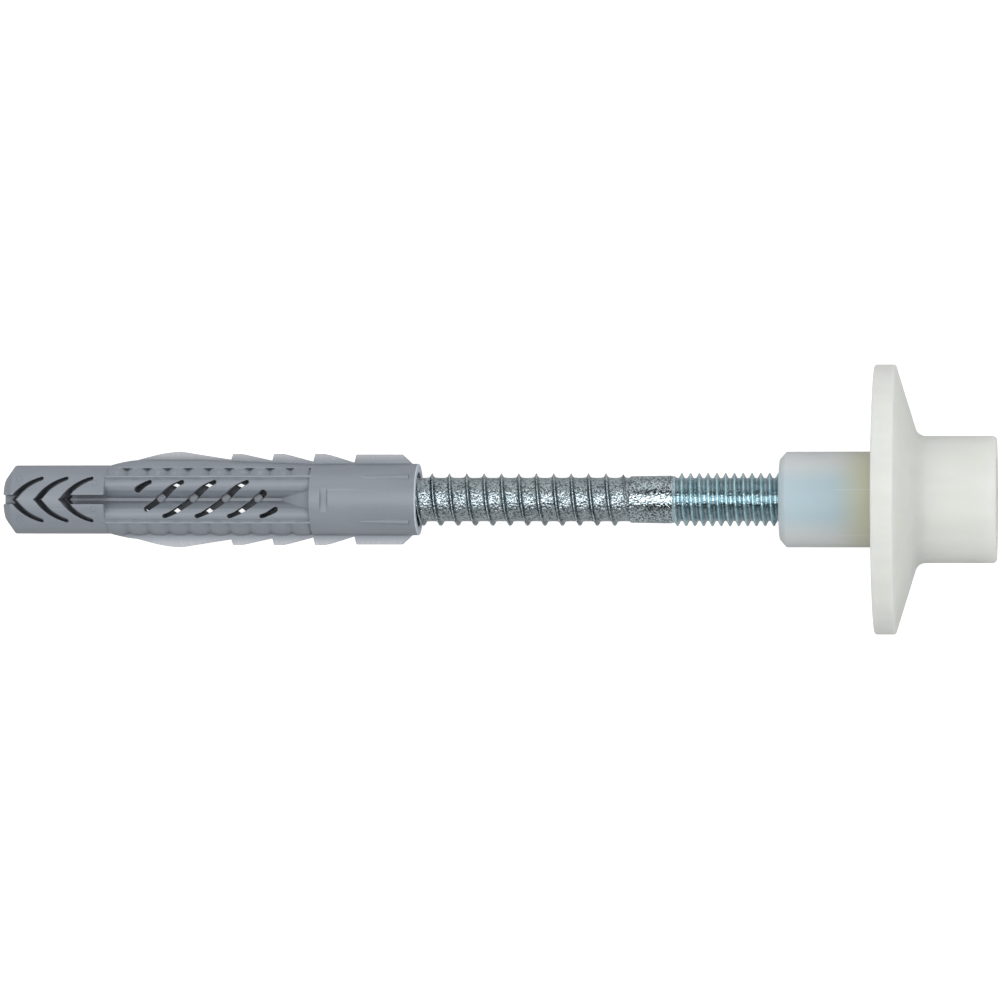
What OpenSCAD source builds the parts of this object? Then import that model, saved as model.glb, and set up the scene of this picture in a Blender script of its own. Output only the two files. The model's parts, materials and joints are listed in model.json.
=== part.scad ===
// Wall plug, hanger screw and flange nut, put together as they are sold.
// Each piece is drawn along the common axis, with x = 0 at the tip of the
// plug's nose and z towards its upper face. The whole is then laid down, so
// that the nose and the rim of the flange touch the surface.

/* [Plug body] */
// Length of the whole plug
plug_len = 60; // [54:0.5:70]
// Length of the slit nose
nose_len = 15; // [13:0.5:17]
// Diameter of the nose
nose_d = 9.86; // [9.5:0.02:10.1]
// Diameter of the flat at the tip
tip_d = 6.2; // [5:0.1:7]
// Length of the chamfer at the tip
tip_chamfer = 1.35; // [1:0.05:1.6]
// Length of the round collar
collar_len = 15.3; // [14:0.1:18]
// Diameter of the collar
collar_d = 10.26; // [10:0.02:10.8]

/* [Plug barrel] */
// Half width of the sunk panel along the barrel
panel_half = 3.13; // [3:0.01:3.3]
// Height of the top of the two round strips in the panel
strip_top = 4.05; // [3.9:0.05:4.2]
// Distance of each strip from the middle
strip_y = 2.14; // [2:0.02:2.2]
// Half width of the V groove between the strips
groove_half = 1.3; // [1.1:0.05:1.4]
// Height of the floor of the V groove
groove_floor = 2.2; // [2.1:0.05:2.4]
// Length of the ramp that ends the V groove at the collar
ramp_len = 4.3; // [3:0.1:6]
// Length of one scalloped pad, before it is fitted to the barrel
pad_pitch = 2.95; // [2.4:0.05:3.6]
// Radius of the pads at the lines between them
pad_low_r = 4.78; // [4.7:0.01:4.9]
// Swell of each pad
pad_swell = 0.39; // [0.3:0.01:0.42]
// Radius of the rails at their highest
rail_r = 5.73; // [5.4:0.01:5.9]

/* [Plug slots] */
// Distance between two slanted slots
slot_pitch = 4.7; // [4.4:0.05:5.2]
// Width of a slanted slot at its middle
slot_w = 0.98; // [0.8:0.02:1.05]
// Width of a slanted slot at its ends
slot_end_w = 0.61; // [0.45:0.01:0.7]
// Diameter of the eye in the middle of a slanted slot
eye_d = 1.15; // [1:0.05:1.4]
// How far the far side's slots are set back towards the nose
far_shift = 0.3; // [0:0.05:1.2]
// Distance between two arrow slots in the nose
arrow_pitch = 3.64; // [3.4:0.02:3.8]
// Width of an arrow slot at its point
arrow_w = 0.96; // [0.7:0.02:1]
// Width of an arrow slot at its ends
arrow_end_w = 0.52; // [0.4:0.02:0.6]
// Width of the slits in the tip and behind the arrows
slit_w = 1.3; // [1:0.05:1.5]

/* [Plug fins] */
// Thickness of the side fins
fin_t = 0.9; // [0.6:0.05:1.2]
// Radius of the fins at the hump
hump_r = 6.87; // [6.4:0.01:7.2]
// Radius of the fins at the teeth
tooth_r = 6.55; // [6.2:0.01:6.8]
// Distance between two teeth
tooth_pitch = 5.96; // [5.5:0.02:6.3]
// Length of the long fin on the collar
keel_len = 8.4; // [6:0.1:8.5]

/* [Screw] */
// Length of the whole screw
screw_len = 80; // [76:1:110]
// How far the screw reaches into the plug
screw_in = 17.75; // [16:0.25:22]
// Length of the wood thread with its point
wood_len = 48; // [44:0.1:52]
// Outer diameter of the wood thread
wood_d = 7.5; // [7.2:0.02:7.6]
// Core diameter of the wood thread
wood_core_d = 6.24; // [6:0.02:6.4]
// Distance between two turns of the wood thread
wood_pitch = 2.5; // [2.2:0.05:3]
// Length of the conical point
point_len = 6.5; // [5:0.5:7]
// Length of the plain shank
shank_len = 6.3; // [5:0.1:10]
// Diameter of the plain shank
shank_d = 6.8; // [6.5:0.02:7]
// Outer diameter of the metric thread
metric_d = 7.66; // [7.4:0.02:7.9]
// Core diameter of the metric thread
metric_core_d = 6.4; // [6.2:0.02:6.6]
// Distance between two turns of the metric thread
metric_pitch = 1.25; // [1:0.05:1.5]

/* [Nut] */
// How far the metric thread reaches into the nut
nut_on = 10.55; // [6:0.05:14]
// Length of the sleeve
sleeve_len = 13.4; // [12:0.1:18]
// Diameter of the sleeve
sleeve_d = 13.6; // [12.5:0.1:15]
// Diameter of the flange
flange_d = 38.3; // [34:0.1:46]
// Thickness of the flange at its rim
rim_t = 3.1; // [2.6:0.1:4]
// Length of the cone from the rim to the boss
cone_len = 3.0; // [2.5:0.1:5]
// Length of the nut from the flange's back face to the end of the boss
head_len = 17.26; // [16:0.1:22]
// Diameter of the boss
boss_d = 18; // [17:0.1:20]
// Radius of the fillet between cone and boss
boss_fillet = 1.5; // [0.8:0.1:1.8]
// Distance across the flats of the hexagon socket
socket_af = 10; // [9:0.5:12]
// Depth of the hexagon socket
socket_depth = 5; // [4:0.5:6]

/* [Fits] */
// Gap all round between the wood thread and the plug's mouth
plug_gap = 0.17; // [0.1:0.01:0.2]
// Gap all round between the metric thread and the nut
nut_gap = 0.12; // [0.05:0.01:0.2]

/* [Hidden] */
// Overlap of a cut past the face that it leaves, and of two shapes that join
eps = 0.05;

// Places along the axis
collar_x = plug_len - collar_len;
barrel_len = collar_x - nose_len;
point_x = plug_len - screw_in;
shank_x = point_x + wood_len;
metric_x = shank_x + shank_len;
screw_end_x = point_x + screw_len;
nut_x = screw_end_x - nut_on;
flange_x = nut_x + sleeve_len;
boss_end_x = flange_x + head_len;

// Radii
nose_r = nose_d / 2;
tip_r = tip_d / 2;
collar_r = collar_d / 2;
flange_r = flange_d / 2;
boss_r = boss_d / 2;
sleeve_r = sleeve_d / 2;
mouth_r = wood_d / 2 + plug_gap;
nut_bore_r = metric_d / 2 + nut_gap;

// Pose: the edges of the tip slit and the flange's back rim lie on the surface
rim_round = 0.35;
boss_round = 0.6;
touch_r = sqrt(nose_r * nose_r - slit_w * slit_w / 4);
rim_touch_x = flange_x + rim_round;
lie = atan((flange_r - touch_r) / (rim_touch_x - tip_chamfer));
rise = touch_r * cos(lie) - tip_chamfer * sin(lie);
tip_corner_r = sqrt(tip_r * tip_r - slit_w * slit_w / 4);
left_x = -tip_corner_r * sin(lie);
right_x = (boss_end_x - boss_round) * cos(lie) + (boss_r - boss_round) * sin(lie) + boss_round;
mid_x = (left_x + right_x) / 2;

// Puts a piece from the common axis into the pose at rest
module lay_down() {
    translate([-mid_x, 0, rise]) rotate([0, -lie, 0]) children();
}

// A solid of revolution about the axis, from points [radius, x]
module turned(points) {
    rotate([0, 90, 0]) rotate_extrude($fn = 96) polygon(points);
}

// A round bar along the axis from x1 to x2
module bar(x1, x2, r1, r2) {
    translate([x1, 0, 0]) rotate([0, 90, 0]) cylinder(h = x2 - x1, r1 = r1, r2 = r2, $fn = 96);
}

// A shape drawn in y and z, drawn out along x
module drawn(x1, x2) {
    translate([x1, 0, 0]) rotate([90, 0, 90]) linear_extrude(x2 - x1) children();
}

// A shape drawn in x and y, cut through the upper wall from z1 up
module upper_cut(z1) {
    translate([0, 0, z1]) linear_extrude(nose_d) children();
}

// The plug looks the same from its far side, turned half round its axis
module both_sides() {
    for (turn = [0, 180]) rotate([turn, 0, 0]) children();
}

// Points on an arc about c with radius r, from angle a1 to a2 in n steps
function arc(c, r, a1, a2, n) =
    [for (i = [0:n]) let (a = a1 + (a2 - a1) * i / n) c + r * [cos(a), sin(a)]];

// Scalloped pads: a barrel whose radius swells between the dividing lines
pad_count = round(barrel_len / pad_pitch);
pad_len = barrel_len / pad_count;
pad_steps = 6;
// The pads are flatter and their edges steeper than a sine, by this power of it
pad_round = 0.6;
pad_points = [
    [0, nose_len - eps], [pad_low_r - eps, nose_len - eps],
    for (i = [0:pad_count * pad_steps])
        [pad_low_r + pad_swell * pow(abs(sin(180 * i / pad_steps)), pad_round),
            nose_len + pad_len * i / pad_steps],
    [pad_low_r - eps, collar_x + eps], [0, collar_x + eps],
];

// Rails: they rise quickly behind the nose and fall slowly to the collar
rail_rise = 5;
rail_flat = 8.5;
rail_fall = barrel_len - rail_rise - rail_flat;
rail_steps = 6;
rail_points = [
    [0, nose_len - eps], [nose_r - eps, nose_len - eps],
    for (i = [1:rail_steps]) let (t = i / rail_steps)
        [nose_r + (rail_r - nose_r) * sin(90 * t), nose_len + rail_rise * t],
    [rail_r, collar_x - rail_fall],
    [collar_r - eps, collar_x + eps],
    [0, collar_x + eps],
];
// The rail's upright inner side, its narrow top and its bevel, in y and z
rail_edge = [4.8, 2.5];
rail_foot_y = 4.5;
rail_section = [
    [rail_foot_y, 0], [rail_foot_y, rail_edge.y + 0.15], rail_edge,
    rail_edge + [1.3, -1.6], [rail_r + 1, 0],
];

// The panel floor with its two round strips and the narrow lip beside it, in y and z
strip_r = 1.55;
lip_w = 0.34;
lip_top = 4.02;
module panel_section() {
    difference() {
        union() {
            translate([-panel_half, -groove_floor])
                square([2 * panel_half, 2 * groove_floor]);
            for (side = [-1, 1], face = [-1, 1])
                translate([side * strip_y, face * (strip_top - strip_r)])
                    intersection() {
                        circle(r = strip_r, $fn = 64);
                        square([2 * (panel_half - strip_y) + 0.02, 2 * strip_r], center = true);
                    }
            for (side = [-1, 1]) translate([side * (panel_half + lip_w / 2), 0])
                square([lip_w, 2 * lip_top], center = true);
            for (side = [-1, 1], face = [-1, 1])
                polygon([
                    [side * groove_half / 4, 0], [side * strip_y, 0],
                    [side * strip_y, face * (strip_top - 0.02)],
                    [side * groove_half, face * (strip_top - 0.25)],
                    [side * groove_half / 4, face * (groove_floor + 0.3)],
                ]);
        }
        for (face = [-1, 1])
            polygon([
                [-0.15, face * groove_floor], [0.15, face * groove_floor],
                [groove_half, face * (strip_top - 0.25)], [groove_half, face * (strip_top + 1)],
                [-groove_half, face * (strip_top + 1)], [-groove_half, face * (strip_top - 0.25)],
            ]);
    }
}

// The barrel between nose and collar
module barrel() {
    difference() {
        turned(pad_points);
        for (face = [-1, 1])
            translate([(nose_len + collar_x) / 2, 0, face * (groove_floor - 0.4 + nose_r)])
                cube([barrel_len + 1, 2 * panel_half, nose_d], center = true);
    }
    drawn(nose_len - eps, collar_x + eps) panel_section();
    both_sides() intersection() {
        turned(rail_points);
        drawn(nose_len - 2 * eps, collar_x + 2 * eps) polygon(rail_section);
    }
    both_sides() rotate([90, 0, 0]) linear_extrude(2 * groove_half, center = true) polygon([
        [collar_x - ramp_len, groove_floor - 0.3], [collar_x - ramp_len, groove_floor],
        [collar_x + eps, strip_top - 0.15], [collar_x + eps, groove_floor - 0.3],
    ]);
}

// One side fin in x and y: a long hump, a row of teeth and a straight keel
hump_x = nose_len + 10.6;
teeth_x = nose_len + 17.8;
keel_x = collar_x + 6;
teeth_count = floor((keel_x - teeth_x) / tooth_pitch + 0.2);
tooth_step = (keel_x - teeth_x) / teeth_count;
fin_foot_r = 4.4;
keel_end_x = keel_x + keel_len;
// Radius of the fin at the foot of each tooth
function tooth_low(i) = rail_r - 0.15 * i;
fin_points = [
    [nose_len - eps, fin_foot_r],
    [nose_len - eps, nose_r - eps],
    for (i = [0:6]) let (t = i / 6)
        [nose_len + 4.3 + (hump_x - nose_len - 4.3) * t, rail_r + (hump_r - rail_r) * sin(90 * t)],
    for (i = [0:teeth_count - 1]) let (x = teeth_x + i * tooth_step) each [
        [x, tooth_low(i)], [x + 0.25, tooth_r], [x + 1.6, tooth_r],
        [x + 2.6, tooth_r - 0.22],
    ],
    [keel_x, tooth_low(teeth_count)],
    [keel_x + 0.25, tooth_r - 0.1],
    [keel_end_x - 1.5, tooth_r - 0.1],
    [keel_end_x, collar_r - eps],
    [keel_end_x, fin_foot_r],
];
module fins() {
    both_sides() linear_extrude(fin_t, center = true) polygon(fin_points);
}

// One slanted slot about its eye, from x1 to x2, in x and y
slot_left = -3.9;
slot_right = 3.35;
// Middle line of the slot and its half width
function slot_y(x) = 0.85 * x - 0.013 * x * x * x;
function slot_half(x) = (slot_w - (slot_w - slot_end_w) * pow(min(1, abs(x) / 3), 2)) / 2;
module slot(x1, x2, eye) {
    steps = 10;
    xs = [for (i = [0:steps]) x1 + (x2 - x1) * i / steps];
    polygon(concat(
        [for (x = xs) [x, slot_y(x)] + slot_half(x) * [-0.6, 0.8]],
        [for (i = [steps:-1:0]) let (x = xs[i]) [x, slot_y(x)] - slot_half(x) * [-0.6, 0.8]]
    ));
    for (x = [x1, x2]) translate([x, slot_y(x)]) circle(r = slot_half(x), $fn = 24);
    if (eye) circle(d = eye_d, $fn = 32);
}

// The row of slanted slots: whole ones between a cut-off and a half one at each end
slots_x = nose_len + 7.9;
slots_y = 0.15;
slot_count = max(2, floor((barrel_len - 15.5) / slot_pitch + 1));
module slot_row() {
    last = slot_count - 1;
    for (i = [0:last])
        translate([slots_x + i * slot_pitch, slots_y])
            slot(i == 0 ? -1.8 : slot_left, i == last ? 0.95 : slot_right, true);
    translate([slots_x - slot_pitch, slots_y]) slot(1.55, slot_right, false);
    translate([slots_x + slot_count * slot_pitch, slots_y]) slot(slot_left, -2, false);
}

// The eye of each whole slot is blind: a thin floor closes it just under the groove
eye_floor = [1.5, 1.85];
module eye_floors() {
    for (i = [0:slot_count - 1]) translate([slots_x + i * slot_pitch, slots_y, eye_floor[0]])
        cylinder(d = eye_d + 0.2, h = eye_floor[1] - eye_floor[0], $fn = 32);
}

// One arrow slot with its point at x = 0: two arms on arcs that flatten outwards
arrow_reach = [4.0, 3.0];
arrow_turn = 40;
module arrow() {
    chord = norm(arrow_reach);
    r = chord / (2 * sin(arrow_turn / 2));
    a_start = 90 + atan2(arrow_reach.y, arrow_reach.x) + arrow_turn / 2;
    a_end = a_start - arrow_turn;
    start = [arrow_w * 0.7, 0];
    centre = start - r * [cos(a_start), sin(a_start)];
    n = 8;
    for (side = [0, 1]) mirror([0, side]) {
        polygon(concat(
            [for (i = [-1:n]) let (a = a_start - arrow_turn * i / n,
                w = arrow_w - (arrow_w - arrow_end_w) * max(0, i) / n)
                let (p = centre + (r + w / 2) * [cos(a), sin(a)]) [p.x, max(-0.01, p.y)]],
            [for (i = [n:-1:-1]) let (a = a_start - arrow_turn * i / n,
                w = arrow_w - (arrow_w - arrow_end_w) * max(0, i) / n)
                let (p = centre + (r - w / 2) * [cos(a), sin(a)]) [p.x, max(-0.01, p.y)]]
        ));
        translate(centre + r * [cos(a_end), sin(a_end)]) circle(d = arrow_end_w, $fn = 24);
    }
}

// All cuts in the nose that start on one face
arrow_x = 1.13;
// Length along the nose that one arrow takes, and what stays whole behind the last one
arrow_len = arrow_w * 0.7 + arrow_reach.x + arrow_end_w / 2;
arrow_land = 0.6;
arrow_count = floor((nose_len - arrow_land - arrow_len - arrow_x) / arrow_pitch) + 1;
slit_x = arrow_x + (arrow_count - 1) * arrow_pitch + 0.9;
module nose_cuts() {
    upper_cut(1) for (i = [0:arrow_count - 1]) translate([arrow_x + i * arrow_pitch, 0]) arrow();
    translate([-1, -slit_w / 2, groove_floor - 0.4]) cube([arrow_x + 2.1, slit_w, nose_d]);
    drawn(slit_x, nose_len + eps) polygon([
        [-0.15, groove_floor], [0.15, groove_floor], [slit_w / 2, groove_floor + slit_w / 2 - 0.15],
        [slit_w / 2, nose_r + 1], [-slit_w / 2, nose_r + 1],
        [-slit_w / 2, groove_floor + slit_w / 2 - 0.15],
    ]);
}

// The inside: a flat chamber in the barrel, a cone for the screw's point and the mouth
chamber_half = [2.5, 1.55];
chamber_x = nose_len + 2;
chamber_end_x = collar_x - 2.5;
cone_start_r = 1.65;
cone_end_x = point_x + point_len + 0.5;
module inside() {
    translate([chamber_x, -chamber_half.x, -chamber_half.y])
        cube([chamber_end_x - chamber_x, 2 * chamber_half.x, 2 * chamber_half.y]);
    bar(4, chamber_x + 1, 1.4, 1.4);
    bar(chamber_end_x - 1, cone_end_x, cone_start_r, mouth_r);
    bar(cone_end_x - eps, plug_len + 1, mouth_r, mouth_r);
}

// Shallow sunk bar and two growing ribs on the collar
mark_size = [1.05, 3.56];
mark_depth = 0.35;
mark_x = collar_x + 1.65;
rib_y = 3.17;
rib_len = 7;
rib_r = [0.16, 0.42];
module collar_ribs() {
    z = sqrt(collar_r * collar_r - rib_y * rib_y);
    both_sides() for (side = [-1, 1]) translate([0, side * rib_y, z - 0.05])
        bar(plug_len - 1 - rib_len, plug_len - 1, rib_r[0], rib_r[1]);
}

module wall_plug() {
    color([0.58, 0.61, 0.64]) lay_down() {
        difference() {
            union() {
                turned([[0, 0], [tip_r, 0], [nose_r, tip_chamfer], [nose_r, nose_len], [0, nose_len]]);
                barrel();
                bar(collar_x, plug_len, collar_r, collar_r);
                fins();
                collar_ribs();
            }
            inside();
            both_sides() nose_cuts();
            upper_cut(1.2) slot_row();
            rotate([180, 0, 0]) translate([-far_shift, 0, 0]) upper_cut(1.2) slot_row();
            both_sides() translate([mark_x, -mark_size.y / 2, collar_r - mark_depth])
                cube([mark_size.x, mark_size.y, 1]);
        }
        eye_floors();
        rotate([180, 0, 0]) translate([-far_shift, 0, 0]) eye_floors();
    }
}

// A rolled thread with its core, from x = 0, as one closed skin. Each row of points runs
// along the screw at one angle, with two at the foot and two on the crest of every tooth,
// and the rows are joined turn by turn. Start is where the first turn begins, phase is the
// share of a turn at which its first row lies, feet are the places of a tooth's points in
// one pitch, and ends are the radii at both ends. The core grows over the length rise, the
// teeth over the same length from the share lead, and they fade over the length fade.
module rolled_thread(len, pitch, start, phase, sides, feet, core, crest, ends, rise, lead, fade) {
    turns = floor((len - start) / pitch - 0.7);
    size = 4 * turns + 2;
    end = size - 1;
    last = sides - 1;
    function core_r(x) = min(core, ends[0] + (core - ends[0]) * x / rise);
    function tooth_h(x) = (crest - core) * min(1, lead + x / rise, (len - x) / fade);
    function row_x(j, k) = start + pitch * (floor((k - 1) / 4) + j / sides + feet[(k - 1) % 4]);
    function row_r(k, x) = core_r(x) + [0, 1, 1, 0][(k - 1) % 4] * tooth_h(x);
    function row_point(j, k) =
        let (x = k == 0 ? 0 : k == end ? len : row_x(j, k),
            r = k == 0 ? ends[0] : k == end ? ends[1] : row_r(k, x),
            a = 360 * (j / sides + phase))
        [x, r * cos(a), r * sin(a)];
    function at(j, k) = j * size + k;
    points = [for (j = [0:last], k = [0:end]) row_point(j, k)];
    walls = [for (j = [0:last - 1], k = [0:end - 1])
        each [[at(j, k), at(j, k + 1), at(j + 1, k)], [at(j + 1, k), at(j, k + 1), at(j + 1, k + 1)]]];
    // Past the last row the turns join the first row, one turn further on
    seam = [for (k = [1:end - 6])
        each [[at(last, k), at(last, k + 1), at(0, k + 4)],
            [at(0, k + 4), at(last, k + 1), at(0, k + 5)]]];
    seam_start = [for (k = [0:4]) [at(last, 0), at(0, k + 1), at(0, k)]];
    seam_first = [[at(last, 0), at(last, 1), at(0, 5)]];
    seam_end = [for (k = [end - 5:end - 1]) [at(last, k), at(last, k + 1), at(0, end)]];
    seam_last = [[at(last, end - 5), at(0, end), at(0, end - 1)]];
    caps = [[for (j = [0:last]) at(j, 0)], [for (j = [last:-1:0]) at(j, end)]];
    polyhedron(points, concat(walls, seam, seam_start, seam_first, seam_end, seam_last, caps));
}

// The wood thread grows from the point and fades at the shank
wood_start = 1;
wood_phase = 0.05;
wood_sides = 20;
wood_feet = [0.26, 0.44, 0.56, 0.74];
wood_core_r = wood_core_d / 2;
wood_tip_r = 0.2;
wood_lead = 0.25;
wood_fade = 1.2;
module wood_thread() {
    translate([point_x, 0, 0]) rolled_thread(
        wood_len, wood_pitch, wood_start, wood_phase, wood_sides, wood_feet, wood_core_r, wood_d / 2,
        [wood_tip_r, wood_core_r], point_len, wood_lead, wood_fade
    );
}

// The metric thread is a V with a small flat crest, and starts and ends in a chamfer
metric_start = 0.2;
metric_phase = 0.65;
metric_sides = 14;
metric_feet = [0.05, 0.44, 0.56, 0.95];
metric_core_r = metric_core_d / 2;
metric_end_r = metric_core_r - 0.3;
metric_rise = 0.8;
metric_fade = 0.9;
module metric_thread() {
    translate([metric_x, 0, 0]) rolled_thread(
        screw_end_x - metric_x, metric_pitch, metric_start, metric_phase, metric_sides, metric_feet,
        metric_core_r, metric_d / 2, [metric_core_r, metric_end_r], metric_rise, 0, metric_fade
    );
}

module hanger_screw() {
    color([0.62, 0.69, 0.72]) lay_down() {
        wood_thread();
        turned([
            [0, shank_x - eps], [shank_d / 2 - 0.1, shank_x - eps], [shank_d / 2, metric_x - 0.4],
            [shank_d / 2 - 0.15, metric_x + eps], [0, metric_x + eps],
        ]);
        metric_thread();
    }
}

// Outline of the nut in [radius, x], from the sleeve's end to the end of the boss
sleeve_chamfer = 1.05;
cone_x = flange_x + rim_t;
cone_foot = [boss_r + 0.45, cone_x + cone_len];
cone_slope = atan2(cone_foot.y - cone_x, flange_r - cone_foot.x);
fillet_c = [boss_r + boss_fillet, cone_foot.y + boss_fillet * 0.75];
nut_points = concat(
    [[0, nut_x], [sleeve_r - sleeve_chamfer, nut_x], [sleeve_r, nut_x + sleeve_chamfer]],
    [[sleeve_r, flange_x]],
    arc([flange_r - rim_round, flange_x + rim_round], rim_round, -90, 0, 4),
    arc([flange_r - rim_round, cone_x - rim_round], rim_round, 0, 90 - cone_slope, 3),
    arc(fillet_c, boss_fillet, 270 - cone_slope, 180, 6),
    arc([boss_r - boss_round, boss_end_x - boss_round], boss_round, 0, 90, 4),
    [[0, boss_end_x]]
);
module flange_nut() {
    color([0.88, 0.89, 0.86]) lay_down() difference() {
        turned(nut_points);
        bar(nut_x - 1, boss_end_x, nut_bore_r, nut_bore_r);
        translate([boss_end_x - socket_depth, 0, 0]) rotate([0, 90, 0])
            cylinder(h = socket_depth + 1, d = socket_af / cos(30), $fn = 6);
    }
}

wall_plug();
hanger_screw();
flange_nut();
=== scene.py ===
"""Looks of a wash-basin fixing: a grey nylon wall plug, a zinc-plated hanger screw and a flanged
nut of natural nylon, put together as they are sold and lying as they come to rest."""

import json
import math

import bmesh
import bpy
from mathutils import Matrix, Vector


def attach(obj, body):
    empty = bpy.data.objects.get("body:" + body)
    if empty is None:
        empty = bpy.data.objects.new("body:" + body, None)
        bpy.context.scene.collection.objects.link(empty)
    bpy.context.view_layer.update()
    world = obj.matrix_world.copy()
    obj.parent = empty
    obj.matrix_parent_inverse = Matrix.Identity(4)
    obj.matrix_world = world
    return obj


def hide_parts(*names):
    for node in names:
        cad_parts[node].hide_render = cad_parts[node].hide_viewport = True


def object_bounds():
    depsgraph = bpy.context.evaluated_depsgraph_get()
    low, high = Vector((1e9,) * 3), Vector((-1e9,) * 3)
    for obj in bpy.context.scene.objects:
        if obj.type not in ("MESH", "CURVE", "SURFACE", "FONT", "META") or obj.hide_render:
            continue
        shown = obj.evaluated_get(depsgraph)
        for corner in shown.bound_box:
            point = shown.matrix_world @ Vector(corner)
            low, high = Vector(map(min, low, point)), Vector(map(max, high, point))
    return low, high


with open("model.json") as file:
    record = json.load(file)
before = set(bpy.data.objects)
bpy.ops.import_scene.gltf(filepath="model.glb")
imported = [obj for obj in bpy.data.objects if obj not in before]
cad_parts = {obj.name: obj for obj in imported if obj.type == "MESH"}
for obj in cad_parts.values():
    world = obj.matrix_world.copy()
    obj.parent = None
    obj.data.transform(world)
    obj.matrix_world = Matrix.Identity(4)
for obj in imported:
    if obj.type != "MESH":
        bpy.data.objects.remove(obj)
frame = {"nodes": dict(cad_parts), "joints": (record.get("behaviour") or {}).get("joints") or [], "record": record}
cad_low, cad_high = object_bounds()

# The common axis. The screw slides along it out of the plug, so the frame's joint gives its
# direction, and the sleeve's mount a point on it. Every new piece is drawn in millimetres
# about this axis, with x = 0 at the plug's tip, and is then laid down into the row's frame.
MM = 0.001
mounts = {mount["name"]: mount for mount in frame["record"]["mounts"]}
travel = {joint["name"]: joint for joint in frame["joints"]}
axis = Vector(travel["screw_travel"]["axis"]).normalized()
sleeve_middle = Vector(mounts["nut_sleeve"]["pos_m"])


def reach(node):
    """Lowest and highest place of a CAD node along the axis, in metres from the sleeve's middle."""
    along = [(vertex.co - sleeve_middle).dot(axis) for vertex in frame["nodes"][node].data.vertices]
    return min(along), max(along)


plug_reach, screw_reach, nut_reach = [reach(n) for n in ("wall_plug", "hanger_screw", "flange_nut")]
tip = sleeve_middle + axis * plug_reach[0]
plug_end = (plug_reach[1] - plug_reach[0]) / MM
screw_point, screw_end = [(place - plug_reach[0]) / MM for place in screw_reach]
nut_start, nut_end = [(place - plug_reach[0]) / MM for place in nut_reach]
sleeve_end = -plug_reach[0] / MM + mounts["nut_sleeve"]["dims"]["length_mm"] / 2
side = Vector((0, 1, 0))
turned = Matrix((axis, side, axis.cross(side))).transposed().to_4x4()
LAY = Matrix.Translation(tip) @ turned @ Matrix.Scale(MM, 4)


# Camera and studio. The camera looks straight down on the fixing, which fills the picture's
# width. A wide soft lamp hangs behind the camera in a dark part of the ceiling, which gives the
# plated steel its bright line with dark flanks, and the walls and the white floor are pale.
CAMERA_HEIGHT = 0.70
SENSOR = 36.0
PICTURE_WIDTH = 0.1431
CAMERA_SHIFT = (0.00016, -0.00007)
axis_height = (cad_low.z + cad_high.z) / 2 - 0.007
camera = bpy.data.objects.new("camera", bpy.data.cameras.new("camera"))
bpy.context.scene.collection.objects.link(camera)
bpy.context.scene.camera = camera
camera.location = (CAMERA_SHIFT[0], CAMERA_SHIFT[1], CAMERA_HEIGHT)
camera.data.sensor_width = SENSOR
camera.data.lens = SENSOR * (CAMERA_HEIGHT - axis_height) / PICTURE_WIDTH


def soft_lamp(name, place, size, power):
    """A rectangular lamp at place that shines on the middle of the fixing."""
    lamp = bpy.data.objects.new(name, bpy.data.lights.new(name, "AREA"))
    lamp.data.shape = "RECTANGLE"
    lamp.data.size, lamp.data.size_y = size
    lamp.data.energy = power
    lamp.location = place
    lamp.rotation_euler = (Vector((0, 0, 0.01)) - Vector(place)).to_track_quat("-Z", "Y").to_euler()
    bpy.context.scene.collection.objects.link(lamp)


soft_lamp("overhead_lamp", (0.0, 0.02, 0.95), (1.5, 0.62), 9.3)


def add(tree, kind, **inputs):
    """Adds a node. An input given as a socket is linked, and any other is set."""
    node = tree.nodes.new("ShaderNode" + kind)
    for name, value in inputs.items():
        put(tree, node.inputs[name.replace("_", " ")], value)
    return node


def put(tree, socket, value):
    """Links value to socket if it is a socket, and sets it otherwise."""
    if isinstance(value, bpy.types.NodeSocket):
        tree.links.new(value, socket)
    else:
        socket.default_value = value


def calc(tree, operation, first, second=0.0):
    """The result of a Math node."""
    node = tree.nodes.new("ShaderNodeMath")
    node.operation = operation
    put(tree, node.inputs[0], first)
    put(tree, node.inputs[1], second)
    return node.outputs[0]


def ramp(tree, value, low, high, start=0.0, end=1.0):
    """Value turned smoothly from start at low to end at high."""
    node = add(tree, "MapRange", Value=value, From_Min=low, From_Max=high, To_Min=start, To_Max=end)
    node.interpolation_type = "SMOOTHSTEP"
    return node.outputs["Result"]


def seen_directly(tree):
    """1 for rays from the camera, straight or through the translucent nut, and 0 for all others."""
    light_path = add(tree, "LightPath").outputs
    return calc(tree, "MAXIMUM", light_path["Is Camera Ray"], light_path["Is Transmission Ray"])


HORIZON = 0.72
CEILING = 0.04
world = bpy.data.worlds.new("studio")
bpy.context.scene.world = world
world.use_nodes = True
sky = world.node_tree
towards = add(sky, "SeparateXYZ", Vector=add(sky, "TexCoord").outputs["Generated"]).outputs
room = ramp(sky, towards["Z"], 0.60, 0.74, HORIZON, CEILING)
room = calc(sky, "MULTIPLY", room, ramp(sky, towards["Y"], -0.9, 0.9, 0.74, 1.12))
put(sky, sky.nodes["Background"].inputs["Strength"], calc(sky, "MAXIMUM", seen_directly(sky), room))
sky.nodes["Background"].inputs["Color"].default_value = (1.0, 1.0, 1.0, 1.0)

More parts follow.
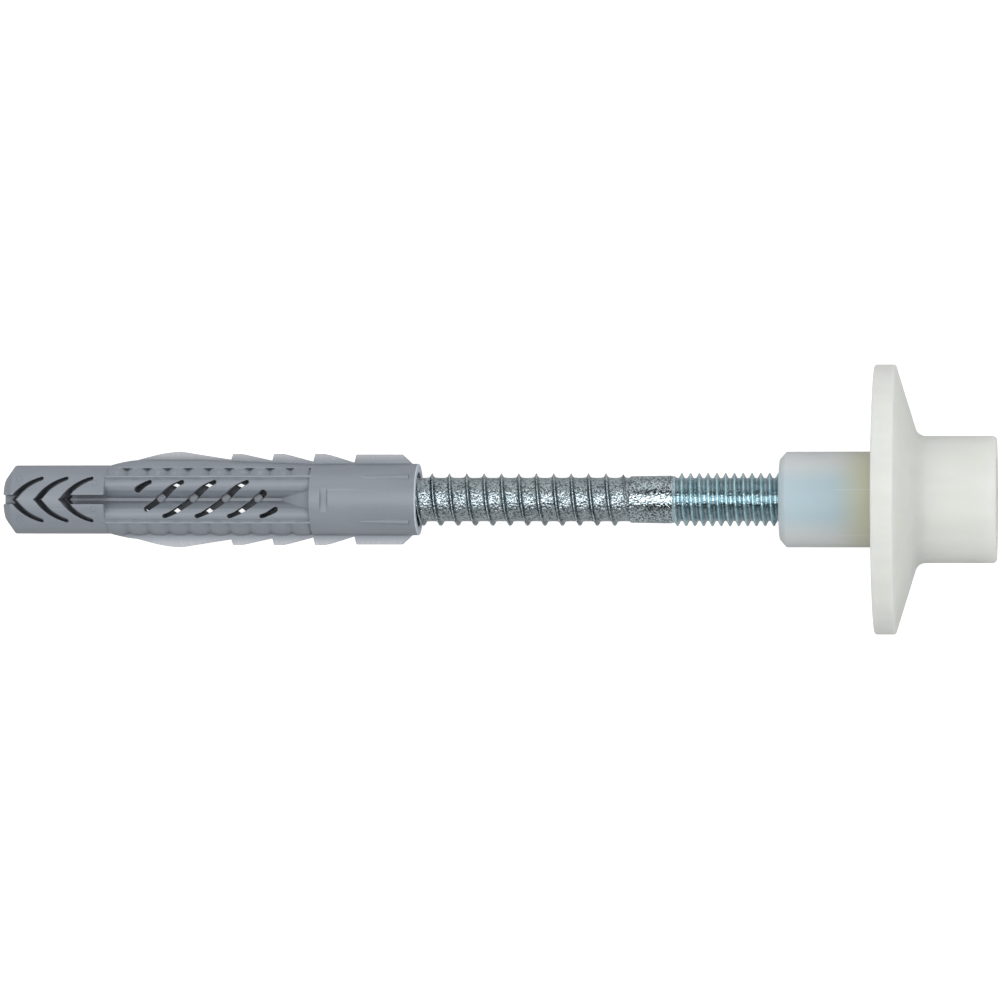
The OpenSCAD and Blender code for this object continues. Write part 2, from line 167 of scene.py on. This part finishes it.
FLOOR_SIZE = 6.0
FLOOR_COLOUR = (0.55, 0.55, 0.55, 1.0)
FLOOR_GLOW = 0.8
bm = bmesh.new()
bmesh.ops.create_grid(bm, x_segments=1, y_segments=1, size=FLOOR_SIZE / 2)
floor = bpy.data.objects.new("floor", bpy.data.meshes.new("floor"))
bm.to_mesh(floor.data)
bm.free()
bpy.context.scene.collection.objects.link(floor)
paper = bpy.data.materials.new("white_paper")
paper.use_nodes = True
sheet = paper.node_tree
skin = sheet.nodes["Principled BSDF"]
skin.inputs["Base Color"].default_value = FLOOR_COLOUR
skin.inputs["Roughness"].default_value = 0.9
skin.inputs["Specular IOR Level"].default_value = 0.1
skin.inputs["Emission Color"].default_value = (1.0, 1.0, 1.0, 1.0)
put(sheet, skin.inputs["Emission Strength"], calc(sheet, "MULTIPLY", seen_directly(sheet), FLOOR_GLOW))
floor.data.materials.append(paper)


# Wall plug. One injection moulding in grey nylon: slit nose with curved arrow slots, barrel
# with scalloped pads and slanted slots, thin side fins and a round collar. It leaves the
# mould with softly rounded edges, true turned surfaces and a fine satin skin.
NOSE_LENGTH, NOSE_RADIUS, NOSE_CHAMFER = 15.0, 4.93, 1.35
COLLAR_START, COLLAR_RADIUS = plug_end - 15.3, 5.13
PAD_RADIUS, PAD_SWELL, PAD_ROUND, PAD_COUNT = 4.78, 0.39, 0.6, 10
EDGE_GRAIN = 0.075
PLUG_TRIANGLES = 190000


def finished(name, bm, body, nodes, material):
    """The finished piece: an object at the origin that rides on body and stands for the CAD nodes."""
    piece = bpy.data.objects.new(name, bpy.data.meshes.new(name))
    bm.to_mesh(piece.data)
    bm.free()
    piece.data.shade_smooth()
    piece.data.materials.append(material)
    bpy.context.scene.collection.objects.link(piece)
    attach(piece, body)
    if nodes:
        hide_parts(*nodes)
    return piece


def rounded_copy(node, grain, triangles):
    """A bmesh of the node's own shape, in millimetres, with its edges softened over about a grain."""
    bm = bmesh.new()
    bm.from_mesh(frame["nodes"][node].data)
    bmesh.ops.remove_doubles(bm, verts=bm.verts, dist=1e-7)
    bmesh.ops.transform(bm, matrix=LAY.inverted(), verts=bm.verts)
    blank = bpy.data.objects.new("blank", bpy.data.meshes.new("blank"))
    bm.to_mesh(blank.data)
    bpy.context.scene.collection.objects.link(blank)
    remesh = blank.modifiers.new("grain", "REMESH")
    remesh.mode = "VOXEL"
    remesh.voxel_size = grain
    soften = blank.modifiers.new("soften", "SMOOTH")
    soften.factor, soften.iterations = 0.5, 2
    dense = bpy.data.meshes.new_from_object(blank.evaluated_get(bpy.context.evaluated_depsgraph_get()))
    blank.modifiers.clear()
    blank.data = dense
    thin = blank.modifiers.new("thin", "DECIMATE")
    thin.ratio = min(1.0, triangles / (2 * len(dense.polygons)))
    evaluated = blank.evaluated_get(bpy.context.evaluated_depsgraph_get())
    bm.clear()
    bm.from_mesh(evaluated.data)
    bpy.data.objects.remove(blank)
    return bm


def turned_radius(x):
    """Radius of the plug's turned skin at x, or None where it has none."""
    if NOSE_CHAMFER + 0.2 < x < NOSE_LENGTH - 0.1:
        return NOSE_RADIUS
    if COLLAR_START + 0.1 < x < plug_end - 0.15:
        return COLLAR_RADIUS
    if NOSE_LENGTH < x < COLLAR_START:
        pads = (x - NOSE_LENGTH) / (COLLAR_START - NOSE_LENGTH) * PAD_COUNT
        return PAD_RADIUS + PAD_SWELL * abs(math.sin(math.pi * pads)) ** PAD_ROUND
    return None


def true_up(bm, near=0.015, far=0.05):
    """Moves points that lie near the turned skin onto it, and leaves all others."""
    for vertex in bm.verts:
        x, y, z = vertex.co
        radius = turned_radius(x)
        here = math.hypot(y, z)
        if radius is None or abs(here - radius) > far:
            continue
        share = min(1.0, (far - abs(here - radius)) / (far - near))
        scale = 1 + share * (radius / here - 1)
        vertex.co = (x, y * scale, z * scale)


def piece_coordinates(tree):
    """Coordinates on a piece in millimetres: x along the axis from the plug's tip, and y and z across."""
    mapping = add(tree, "Mapping", Vector=add(tree, "TexCoord").outputs["Object"])
    mapping.vector_type = "TEXTURE"
    put(tree, mapping.inputs["Location"], LAY.to_translation())
    put(tree, mapping.inputs["Rotation"], LAY.to_euler())
    put(tree, mapping.inputs["Scale"], (MM, MM, MM))
    return mapping.outputs["Vector"]


def mix(tree, factor, first, second):
    """Colour between first and second, each a colour socket or three numbers."""
    node = tree.nodes.new("ShaderNodeMix")
    node.data_type = "RGBA"
    put(tree, node.inputs[0], factor)
    for socket, colour in ((node.inputs[6], first), (node.inputs[7], second)):
        put(tree, socket, (*colour, 1.0) if isinstance(colour, tuple) else colour)
    return node.outputs[2]


def times(tree, colour, factor):
    """A colour made darker or paler by a factor."""
    node = tree.nodes.new("ShaderNodeVectorMath")
    node.operation = "SCALE"
    put(tree, node.inputs[0], colour)
    put(tree, node.inputs["Scale"], factor)
    return node.outputs[0]


def distance(tree, vector, y_share=1.0, z_share=1.0, centre=(0.0, 0.0, 0.0), x_share=0.0):
    """How far vector lies from centre, with each axis weighed by its share."""
    node = tree.nodes.new("ShaderNodeVectorMath")
    node.operation = "DISTANCE"
    shares = (x_share, y_share, z_share)
    put(tree, node.inputs[0], add(tree, "Mapping", Vector=vector, Scale=shares).outputs["Vector"])
    put(tree, node.inputs[1], centre)
    return node.outputs["Value"]


def noise(tree, vector, size, detail=2.0):
    """Soft noise whose blotches are about size wide, in the vector's own units."""
    node = add(tree, "TexNoise", Vector=vector, Scale=1 / size, Detail=detail)
    return node.outputs[0]


def moulded_skin():
    """Node group for the skin of moulded nylon: a very fine grain and slow flow marks along the piece."""
    group = bpy.data.node_groups.new("moulded_skin", "ShaderNodeTree")
    interface = group.interface
    interface.new_socket("Vector", in_out="INPUT", socket_type="NodeSocketVector")
    interface.new_socket("Grain", in_out="INPUT", socket_type="NodeSocketFloat")
    interface.new_socket("Tone", in_out="OUTPUT", socket_type="NodeSocketFloat")
    interface.new_socket("Height", in_out="OUTPUT", socket_type="NodeSocketFloat")
    given = group.nodes.new("NodeGroupInput")
    out = group.nodes.new("NodeGroupOutput")
    stretched = add(group, "Mapping", Vector=given.outputs["Vector"], Scale=(0.25, 1.0, 1.0))
    flow = noise(group, stretched.outputs["Vector"], 2.6, 3.0)
    fine = add(group, "TexNoise", Vector=given.outputs["Vector"], Detail=2.0)
    put(group, fine.inputs["Scale"], calc(group, "DIVIDE", 1.0, given.outputs["Grain"]))
    for name, flow_share in (("Tone", 0.7), ("Height", 0.5)):
        slow = calc(group, "MULTIPLY", flow, flow_share)
        quick = calc(group, "MULTIPLY", fine.outputs[0], 1 - flow_share)
        put(group, out.inputs[name], calc(group, "ADD", slow, quick))
    return group


def skin_on(tree, vector, grain):
    """The moulded skin placed in a material's tree."""
    node = tree.nodes.new("ShaderNodeGroup")
    node.node_tree = bpy.data.node_groups["moulded_skin"]
    put(tree, node.inputs["Vector"], vector)
    put(tree, node.inputs["Grain"], grain)
    return node.outputs


moulded_skin()
grey_nylon = bpy.data.materials.new("grey_nylon")
grey_nylon.use_nodes = True
tree = grey_nylon.node_tree
shader = tree.nodes["Principled BSDF"]
where = piece_coordinates(tree)
skin = skin_on(tree, where, 0.22)
across = add(tree, "SeparateXYZ", Vector=where).outputs
cloudy = ramp(tree, skin["Tone"], 0.35, 0.65)
body_tone = mix(tree, cloudy, (0.228, 0.252, 0.288), (0.252, 0.278, 0.315))
# Painted light: the thin fins are painted paler towards their edges, for the light that comes through them
fin = ramp(tree, calc(tree, "ABSOLUTE", across["Y"]), 5.3, 6.7)
narrowed = add(tree, "Mapping", Vector=where, Scale=(6.0, 1.0, 1.0)).outputs["Vector"]
streaks = noise(tree, narrowed, 1.4, 3.0)
fin_painted_light = mix(tree, ramp(tree, streaks, 0.3, 0.7), (0.36, 0.375, 0.40), (0.42, 0.435, 0.46))
# Painted light: the fins on the lower side are painted paler than those on the upper side
lower_fin_light_and_pin_rings = ramp(tree, across["Y"], -5.5, -5.0, 1.24, 1.0)
# Four ejector pins left faint rings on the nose
PIN_RADIUS = 0.42
for pin in ((2.55, 3.0), (2.55, -2.9), (13.6, 2.3), (13.5, -1.35)):
    from_pin = distance(tree, where, z_share=0.0, x_share=1.0, centre=(*pin, 0.0))
    from_ring = calc(tree, "ABSOLUTE", calc(tree, "SUBTRACT", from_pin, PIN_RADIUS))
    lower_fin_light_and_pin_rings = calc(tree, "MULTIPLY", lower_fin_light_and_pin_rings, ramp(tree, from_ring, 0.02, 0.13, 0.86, 1.0))
# Painted highlight on the collar's end face, and painted shade in the deep grooves
painted_end_highlight = ramp(tree, across["X"], plug_end - 0.16, plug_end - 0.06, 1.0, 2.6)
shade = add(tree, "AmbientOcclusion", Distance=0.0016)
shade.only_local, shade.samples = True, 8
# Painted highlight along the sharp edges and rims
painted_edge_highlight = ramp(tree, add(tree, "NewGeometry").outputs["Pointiness"], 0.54, 0.62, 1.0, 1.15)
tone = calc(tree, "MULTIPLY", ramp(tree, shade.outputs["AO"], 0.25, 0.95, 0.48, 1.03), painted_edge_highlight)
tone = calc(tree, "MULTIPLY", tone, calc(tree, "MULTIPLY", lower_fin_light_and_pin_rings, painted_end_highlight))
put(tree, shader.inputs["Base Color"], times(tree, mix(tree, fin, body_tone, fin_painted_light), tone))
put(tree, shader.inputs["Roughness"], ramp(tree, skin["Tone"], 0.3, 0.7, 0.38, 0.50))
bump = add(tree, "Bump", Height=skin["Height"], Strength=0.25, Distance=0.00004)
put(tree, shader.inputs["Normal"], bump.outputs["Normal"])

bm = rounded_copy("wall_plug", EDGE_GRAIN, PLUG_TRIANGLES)
true_up(bm)
bmesh.ops.transform(bm, matrix=LAY, verts=bm.verts)
finished("plug_moulding", bm, "plug", ["wall_plug"], grey_nylon)


# Hanger screw. One turned steel piece with two rolled threads, a coarse wood thread that runs
# into the plug and a metric thread for the nut, with a plain shank between them. It is plated
# with bright zinc and passivated blue, and the plating is mottled where the steel was rolled.
SEGMENTS = 72
WOOD_END = screw_point + 48.0
WOOD_PITCH, WOOD_CORE, WOOD_CREST = 2.5, 3.12, 3.76
WOOD_CREST_AT = 45.0 - 42.25
POINT_LENGTH, POINT_TIP = 6.5, 0.2
METRIC_START = WOOD_END + 6.3
METRIC_PITCH, METRIC_ROOT, METRIC_CREST = 1.25, 3.05, 3.82
METRIC_CREST_AT = 0.84
SHANK_RADIUS, SHANK_STEP = 3.33, 3.42


def thread(profile, pitch, start, end):
    """A thread about the x axis from start to end: the profile, (x, radius) over one pitch, wound up."""
    bm = bmesh.new()
    points = [bm.verts.new((start - 2 * pitch + x, 0.0, radius)) for x, radius in profile]
    edges = [bm.edges.new(pair) for pair in zip(points, points[1:])]
    bmesh.ops.spin(
        bm, geom=points + edges, axis=(1, 0, 0), cent=(0, 0, 0), dvec=(pitch / SEGMENTS, 0, 0),
        angle=math.tau, steps=SEGMENTS,
    )
    # Every further turn is a copy of the first, one pitch further on
    first_turn = bm.verts[:] + bm.edges[:] + bm.faces[:]
    for turn in range(1, math.ceil((end - start) / pitch) + 3):
        copied = bmesh.ops.duplicate(bm, geom=first_turn)["geom"]
        corners = [part for part in copied if isinstance(part, bmesh.types.BMVert)]
        bmesh.ops.translate(bm, verts=corners, vec=(turn * pitch, 0, 0))
    bmesh.ops.remove_doubles(bm, verts=bm.verts, dist=0.002)
    return bm


def shape_radii(bm, rule):
    """Gives each point of a thread the radius that rule makes of its place along the axis and radius."""
    for vertex in bm.verts:
        x, y, z = vertex.co
        here = math.hypot(y, z)
        scale = rule(x, here) / here
        vertex.co = (x, y * scale, z * scale)


def cut_ends(bm, start, end):
    """Cuts a thread off square at both ends and returns the two rims as lists of edges."""
    for place, outwards in ((start, -1), (end, 1)):
        geometry = bm.verts[:] + bm.edges[:] + bm.faces[:]
        bmesh.ops.bisect_plane(
            bm, geom=geometry, dist=1e-5, plane_co=(place, 0, 0), plane_no=(outwards, 0, 0), clear_outer=True,
        )
    bmesh.ops.remove_doubles(bm, verts=bm.verts, dist=0.002)
    rims = [e for e in bm.edges if e.is_boundary]
    middle = (start + end) / 2
    return [e for e in rims if e.verts[0].co.x < middle], [e for e in rims if e.verts[0].co.x > middle]


def wood_profile():
    """One pitch of the wood thread, which has a slim crest between slightly hollow roots."""
    half = WOOD_PITCH / 2
    shape = [(0.0, 0.0), (0.3, 0.01), (0.52, 0.04), (0.66, 0.1), (0.76, 0.24)]
    shape += [(0.85, 0.52), (0.92, 0.82), (0.965, 1.0)]
    rise = [(share * half, WOOD_CORE + up * (WOOD_CREST - WOOD_CORE)) for share, up in shape]
    fall = [(WOOD_PITCH - x, radius) for x, radius in reversed(rise)]
    return rise + fall


def metric_profile():
    """One pitch of the metric thread: a V with a small flat crest and a rounded root."""
    half = METRIC_PITCH / 2
    shape = [(0.0, 0.03), (0.14, 0.0), (0.27, 0.05), (0.46, 0.28), (0.68, 0.63)]
    shape += [(0.84, 0.91), (0.91, 0.985), (0.99, 1.0)]
    rise = [(share * half, METRIC_ROOT + up * (METRIC_CREST - METRIC_ROOT)) for share, up in shape]
    return rise + [(METRIC_PITCH - x, radius) for x, radius in reversed(rise)]


def wood_rule(x, here):
    """The wood thread thins to its point and runs out at the shank."""
    along = x - screw_point
    core = min(WOOD_CORE, POINT_TIP + (WOOD_CORE - POINT_TIP) * max(0.0, along) / POINT_LENGTH)
    height = min(1.0, 0.25 + max(0.0, along) / POINT_LENGTH, max(0.0, (WOOD_END + 0.05 - x) / 1.3))
    return core + max(0.0, here - WOOD_CORE) * height + min(0.0, here - WOOD_CORE) * (core / WOOD_CORE)


def metric_rule(x, here):
    """The metric thread starts out of the shank and ends in a chamfer."""
    along = max(0.0, x - METRIC_START)
    rising, sinking = SHANK_RADIUS + 0.9 * along, SHANK_RADIUS - 0.4 * along
    chamfer = METRIC_CREST - max(0.0, x - (screw_end - 1.0)) * 0.95
    return min(max(min(here, rising), sinking), chamfer)


def ring(bm, x, radius, segments=SEGMENTS):
    """A round of edges about the axis at x."""
    place = Matrix.Translation((x, 0, 0)) @ Matrix.Rotation(math.pi / 2, 4, "Y")
    made = bmesh.ops.create_circle(bm, cap_ends=False, radius=radius, segments=segments, matrix=place)
    return list({edge for vertex in made["verts"] for edge in vertex.link_edges})


def join_rings(bm, rings):
    """Walls between each ring of edges and the next."""
    for first, second in zip(rings, rings[1:]):
        bmesh.ops.bridge_loops(bm, edges=first + second)


bm = thread(wood_profile(), WOOD_PITCH, screw_point, WOOD_END)
bmesh.ops.translate(bm, verts=bm.verts, vec=(WOOD_CREST_AT - WOOD_PITCH / 2, 0, 0))
shape_radii(bm, wood_rule)
point_rim, wood_rim = cut_ends(bm, screw_point + 0.02, WOOD_END)
metric = thread(metric_profile(), METRIC_PITCH, METRIC_START, screw_end)
bmesh.ops.translate(metric, verts=metric.verts, vec=(METRIC_CREST_AT, 0, 0))
shape_radii(metric, metric_rule)
cut_ends(metric, METRIC_START, screw_end)
carrier = bpy.data.meshes.new("carrier")
metric.to_mesh(carrier)
metric.free()
bm.from_mesh(carrier)
bpy.data.meshes.remove(carrier)
rims = [e for e in bm.edges if e.is_boundary]


def rim_at(x):
    """The open rim of the screw's threads that lies at x."""
    return [e for e in rims if abs(e.verts[0].co.x - x) < 0.1]


shank = [ring(bm, WOOD_END + 0.12, SHANK_RADIUS - 0.06), ring(bm, WOOD_END + 0.3, SHANK_RADIUS)]
shank += [ring(bm, METRIC_START - 0.4, SHANK_STEP), ring(bm, METRIC_START - 0.1, SHANK_RADIUS + 0.02)]
join_rings(bm, [rim_at(WOOD_END), *shank, rim_at(METRIC_START)])
bmesh.ops.edgeloop_fill(bm, edges=rim_at(screw_point + 0.02))
bmesh.ops.edgeloop_fill(bm, edges=rim_at(screw_end))
bmesh.ops.recalc_face_normals(bm, faces=bm.faces)
bmesh.ops.transform(bm, matrix=LAY, verts=bm.verts)

zinc = bpy.data.materials.new("blue_zinc")
zinc.use_nodes = True
tree = zinc.node_tree
shader = tree.nodes["Principled BSDF"]
where = piece_coordinates(tree)
along = add(tree, "SeparateXYZ", Vector=where).outputs["X"]
metric_end = ramp(tree, along, METRIC_START - 0.4, METRIC_START + 0.2)
blotches = noise(tree, where, 1.1, 3.0)
mottle = noise(tree, where, 0.30, 1.0)
cloudy = ramp(tree, blotches, 0.35, 0.65)
plate = mix(tree, cloudy, (0.315, 0.385, 0.415), (0.43, 0.495, 0.52))
blue_plate = mix(tree, cloudy, (0.31, 0.43, 0.47), (0.44, 0.55, 0.59))
# The wood thread and the shank have flecks of dull plate, and the metric thread gets painted shade in its roots
# and a painted highlight on its crests
flecks = ramp(tree, noise(tree, where, 0.30, 2.0), 0.38, 0.50, 0.38, 1.02)
smut = ramp(tree, noise(tree, where, 0.26, 1.0), 0.40, 0.52, 0.35, 1.16)
wooded = ramp(tree, along, WOOD_END - 0.3, WOOD_END + 0.3, 1.0, 0.0)
flecks = calc(tree, "MULTIPLY", flecks, calc(tree, "MAXIMUM", smut, wooded))
flecks = calc(tree, "MAXIMUM", flecks, metric_end)
from_axis = distance(tree, where)
# Painted shade in the metric thread's roots and painted highlight on its crests
root = ramp(tree, from_axis, METRIC_ROOT + 0.02, METRIC_ROOT + 0.3, 0.75, 1.3)
root = calc(tree, "MAXIMUM", root, calc(tree, "SUBTRACT", 1.0, metric_end))
# Painted shade on the wood thread's flanks, and a painted highlight on its crests
flank = ramp(tree, from_axis, WOOD_CORE + 0.03, WOOD_CORE + 0.2, 1.0, 0.5)
crest = ramp(tree, from_axis, WOOD_CREST - 0.16, WOOD_CREST - 0.05, 0.0, 0.6)
flank = calc(tree, "MAXIMUM", calc(tree, "ADD", flank, crest), calc(tree, "SUBTRACT", 1.0, wooded))
root = calc(tree, "MULTIPLY", root, flank)
plated = mix(tree, metric_end, plate, blue_plate)
put(tree, shader.inputs["Base Color"], times(tree, plated, calc(tree, "MULTIPLY", flecks, root)))
shader.inputs["Metallic"].default_value = 1.0
put(tree, shader.inputs["Roughness"], ramp(tree, mottle, 0.35, 0.65, 0.10, 0.17))
bump = add(tree, "Bump", Height=mottle, Distance=0.00017)
put(tree, bump.inputs["Strength"], ramp(tree, along, WOOD_END - 0.3, WOOD_END + 0.3, 1.0, 0.52))
put(tree, shader.inputs["Normal"], bump.outputs["Normal"])
finished("plated_screw", bm, "screw", ["hanger_screw"], zinc)


# Flange nut. One injection moulding in natural nylon, milky and a little translucent: a
# sleeve that centres the basin's hole, a wide flange with a sloping front, and a round boss
# with a hexagon socket. Its edges are rounded and its bore takes the metric thread.
NUT_SEGMENTS = 160
SLEEVE_RADIUS, SLEEVE_CHAMFER = mounts["nut_sleeve"]["dims"]["r_mm"], 1.05
RIM_RADIUS = cad_high.y / MM - 0.01
RIM_THICKNESS, RIM_ROUND = 3.1, 0.35
CONE_LENGTH, BOSS_RADIUS, BOSS_FILLET, BOSS_ROUND = 3.0, 9.0, 1.5, 0.63
BORE_RADIUS, BORE_CHAMFER = 3.95, 0.35
SOCKET_FLATS, SOCKET_DEPTH, SOCKET_CHAMFER = 10.0, 5.0, 0.3


def arc(x, radius, size, start, end, steps):
    """Points (x, radius) on an arc of that size about a centre, with angles measured from the x axis."""
    turn = [math.radians(start + (end - start) * i / steps) for i in range(steps + 1)]
    return [(x + size * math.cos(t), radius + size * math.sin(t)) for t in turn]


cone_start = sleeve_end + RIM_THICKNESS
cone_foot = (cone_start + CONE_LENGTH, BOSS_RADIUS + 0.45)
slope = math.degrees(math.atan2(CONE_LENGTH, RIM_RADIUS - cone_foot[1]))
outline = [(nut_start, BORE_RADIUS + BORE_CHAMFER)]
outline += arc(nut_start + 0.2, SLEEVE_RADIUS - SLEEVE_CHAMFER - 0.1, 0.2, 180, 135, 3)
outline += arc(nut_start + SLEEVE_CHAMFER, SLEEVE_RADIUS - 0.25, 0.25, 135, 90, 3)
outline += [(nut_start + 4.5, SLEEVE_RADIUS), (sleeve_end - 2.5, SLEEVE_RADIUS)]
outline += arc(sleeve_end - 0.2, SLEEVE_RADIUS + 0.2, 0.2, 270, 360, 3)
outline += arc(sleeve_end + RIM_ROUND, RIM_RADIUS - RIM_ROUND, RIM_ROUND, 180, 90, 6)
outline += arc(cone_start - RIM_ROUND, RIM_RADIUS - RIM_ROUND, RIM_ROUND, 90, slope, 6)
fillet_at = (cone_foot[0] + BOSS_FILLET * 0.75, BOSS_RADIUS + BOSS_FILLET)
outline += arc(*fillet_at, BOSS_FILLET, 180 + slope, 270, 8)
outline += arc(nut_end - BOSS_ROUND, BOSS_RADIUS - BOSS_ROUND, BOSS_ROUND, 90, 0, 8)
bm = bmesh.new()
points = [bm.verts.new((x, 0.0, radius)) for x, radius in outline]
edges = [bm.edges.new(pair) for pair in zip(points, points[1:])]
bmesh.ops.spin(
    bm, geom=points + edges, axis=(1, 0, 0), cent=(0, 0, 0), dvec=(0, 0, 0),
    angle=math.tau, steps=NUT_SEGMENTS, use_merge=True,
)
rims = [e for e in bm.edges if e.is_boundary]
mouth_rim, boss_rim = rim_at(nut_start), rim_at(nut_end)


def hexagon(bm, x, flats):
    """A hexagon of edges across the axis at x, with rounded corners."""
    made = ring(bm, x, flats / 2 / math.cos(math.pi / 6), segments=6)
    corners = list({vertex for edge in made for vertex in edge.verts})
    bmesh.ops.bevel(
        bm, geom=corners, offset=0.35, offset_type="OFFSET", affect="VERTICES",
        segments=3, profile=0.5, material=-1,
    )
    made = [e for e in bm.edges if not e.link_faces and all(abs(v.co.x - x) < 1e-4 for v in e.verts)]
    return made


socket_floor = nut_end - SOCKET_DEPTH
land = ring(bm, nut_end, SOCKET_FLATS / 2 / math.cos(math.pi / 6) + 0.9, segments=NUT_SEGMENTS)
bmesh.ops.bridge_loops(bm, edges=boss_rim + land)
lip = hexagon(bm, nut_end, SOCKET_FLATS + SOCKET_CHAMFER)
bmesh.ops.bridge_loops(bm, edges=[e for e in land if e.is_boundary] + lip)
walls = [hexagon(bm, nut_end - SOCKET_CHAMFER, SOCKET_FLATS)]
bmesh.ops.bridge_loops(bm, edges=lip + walls[0])
walls.append(hexagon(bm, socket_floor, SOCKET_FLATS))
bmesh.ops.bridge_loops(bm, edges=walls[0] + walls[1])
bore_outline = [(socket_floor, BORE_RADIUS + 0.2), (socket_floor - 0.2, BORE_RADIUS)]
bore_outline.append((nut_start + BORE_CHAMFER, BORE_RADIUS))
bore = [ring(bm, x, radius, NUT_SEGMENTS) for x, radius in bore_outline]
join_rings(bm, [walls[1], *bore, mouth_rim])
bmesh.ops.remove_doubles(bm, verts=bm.verts, dist=0.001)
bmesh.ops.recalc_face_normals(bm, faces=bm.faces)
bmesh.ops.transform(bm, matrix=LAY, verts=bm.verts)

milky_nylon = bpy.data.materials.new("milky_nylon")
milky_nylon.use_nodes = True
tree = milky_nylon.node_tree
shader = tree.nodes["Principled BSDF"]
where = piece_coordinates(tree)
skin = skin_on(tree, where, 0.3)
across = add(tree, "SeparateXYZ", Vector=where).outputs
milky = mix(tree, ramp(tree, skin["Tone"], 0.35, 0.65), (0.70, 0.713, 0.683), (0.73, 0.743, 0.713))
# Painted shade: the thin sleeve is painted bluish where the plated screw lies close behind it, and a darker yellow
# by the flange, in its shade
on_sleeve = ramp(tree, distance(tree, where), SLEEVE_RADIUS + 0.1, SLEEVE_RADIUS + 0.6, 1.0, 0.0)
from_middle = ramp(tree, calc(tree, "ABSOLUTE", across["Y"]), 2.0, 6.0)
painted_screw_shade = mix(tree, from_middle, (0.62, 0.76, 0.82), (0.84, 0.87, 0.86))
painted_flange_shade = ramp(tree, across["X"], nut_start + 7.0, sleeve_end - 0.6)
sleeve_tone = mix(tree, painted_flange_shade, painted_screw_shade, (0.74, 0.74, 0.59))
# Painted highlight: six pale lines run along the sleeve up to the flange, as glints of low ribs that are not
# modelled
turn = calc(tree, "ARCTAN2", calc(tree, "MULTIPLY", across["Y"], -1.0), across["Z"])
wave = calc(tree, "SINE", calc(tree, "MULTIPLY", calc(tree, "ADD", turn, math.radians(11.8)), 3.0))
painted_rib_glint = calc(tree, "MULTIPLY", on_sleeve, ramp(tree, calc(tree, "ABSOLUTE", wave), 0.01, 0.06, 1.0, 0.0))
painted_rib_glint = calc(tree, "MULTIPLY", painted_rib_glint, ramp(tree, across["X"], nut_start + 7.3, nut_start + 8.5, 0.0, 0.35))
sleeve_tone = mix(tree, painted_rib_glint, sleeve_tone, (0.95, 0.98, 0.98))
put(tree, shader.inputs["Base Color"], mix(tree, on_sleeve, milky, sleeve_tone))
put(tree, shader.inputs["Roughness"], ramp(tree, skin["Tone"], 0.3, 0.7, 0.48, 0.58))
shader.inputs["Specular IOR Level"].default_value = 0.1
shader.inputs["Subsurface Weight"].default_value = 1.0
shader.inputs["Subsurface Radius"].default_value = (1.0, 1.0, 0.85)
shader.inputs["Subsurface Scale"].default_value = 0.005
# It also lets a little of the screw show through, which the thick head does not
put(tree, shader.inputs["Transmission Weight"], calc(tree, "MULTIPLY", on_sleeve, 0.35))
bump = add(tree, "Bump", Height=skin["Height"], Strength=0.15, Distance=0.00004)
put(tree, shader.inputs["Normal"], bump.outputs["Normal"])
finished("nylon_nut", bm, "nut", ["flange_nut"], milky_nylon)


bpy.context.scene.view_settings.view_transform = "Standard"
